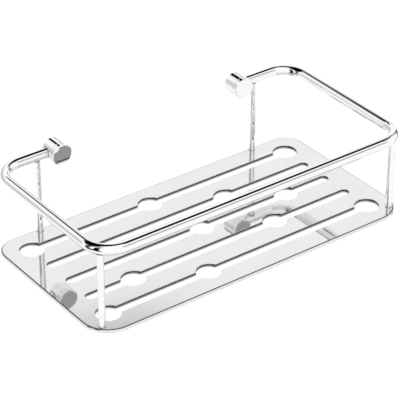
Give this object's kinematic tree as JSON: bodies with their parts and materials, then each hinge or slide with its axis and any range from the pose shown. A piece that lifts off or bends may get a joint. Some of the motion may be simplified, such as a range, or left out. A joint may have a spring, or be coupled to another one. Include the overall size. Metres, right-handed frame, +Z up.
{
  "type": "wall-mounted shower caddy shelf",
  "caption": "Polished wall-mounted shower shelf: a slotted drain plate hung on thin posts below a bent round rail, held by two wall sleeves with pull-off caps.",
  "frame": {"origin": "on the wall plane, midway between the two wall sleeves, on their axes, which is also the height of the rail's axis", "axes": "+X along the shelf's width to the right as seen from the room, +Y into the wall, +Z up"},
  "size_m": [0.28, 0.1458, 0.076],
  "materials": {
    "polished_plate": "mirror polished stainless steel sheet",
    "polished_rail": "mirror polished",
    "polished_post": "mirror polished",
    "polished_sleeve": "mirror polished",
    "polished_cap": "mirror polished with a bright chamfer",
    "cap_ring": "smooth black",
    "plain_screw": "plain stainless"
  },
  "bodies": {
    "shelf": {"shelf_plate": "polished_plate", "top_rail": "polished_rail", "front_left_post": "polished_post", "front_right_post": "polished_post", "rear_left_post": "polished_post", "rear_right_post": "polished_post", "left_wall_sleeve": "polished_sleeve", "right_wall_sleeve": "polished_sleeve", "front_left_screw": "plain_screw", "front_right_screw": "plain_screw", "rear_left_screw": "plain_screw", "rear_right_screw": "plain_screw"},
    "left_cap": {"left_cover_cap": "polished_cap", "left_cap_ring": "cap_ring"},
    "right_cap": {"right_cover_cap": "polished_cap", "right_cap_ring": "cap_ring"}
  },
  "joints": [
    {"name": "left_cap_slide", "type": "slide", "parent": "shelf", "child": "left_cap", "axis": [0, -1, 0], "range_m": [0, 0.006]},
    {"name": "right_cap_slide", "type": "slide", "parent": "shelf", "child": "right_cap", "axis": [0, -1, 0], "range_m": [0, 0.006]}
  ]
}
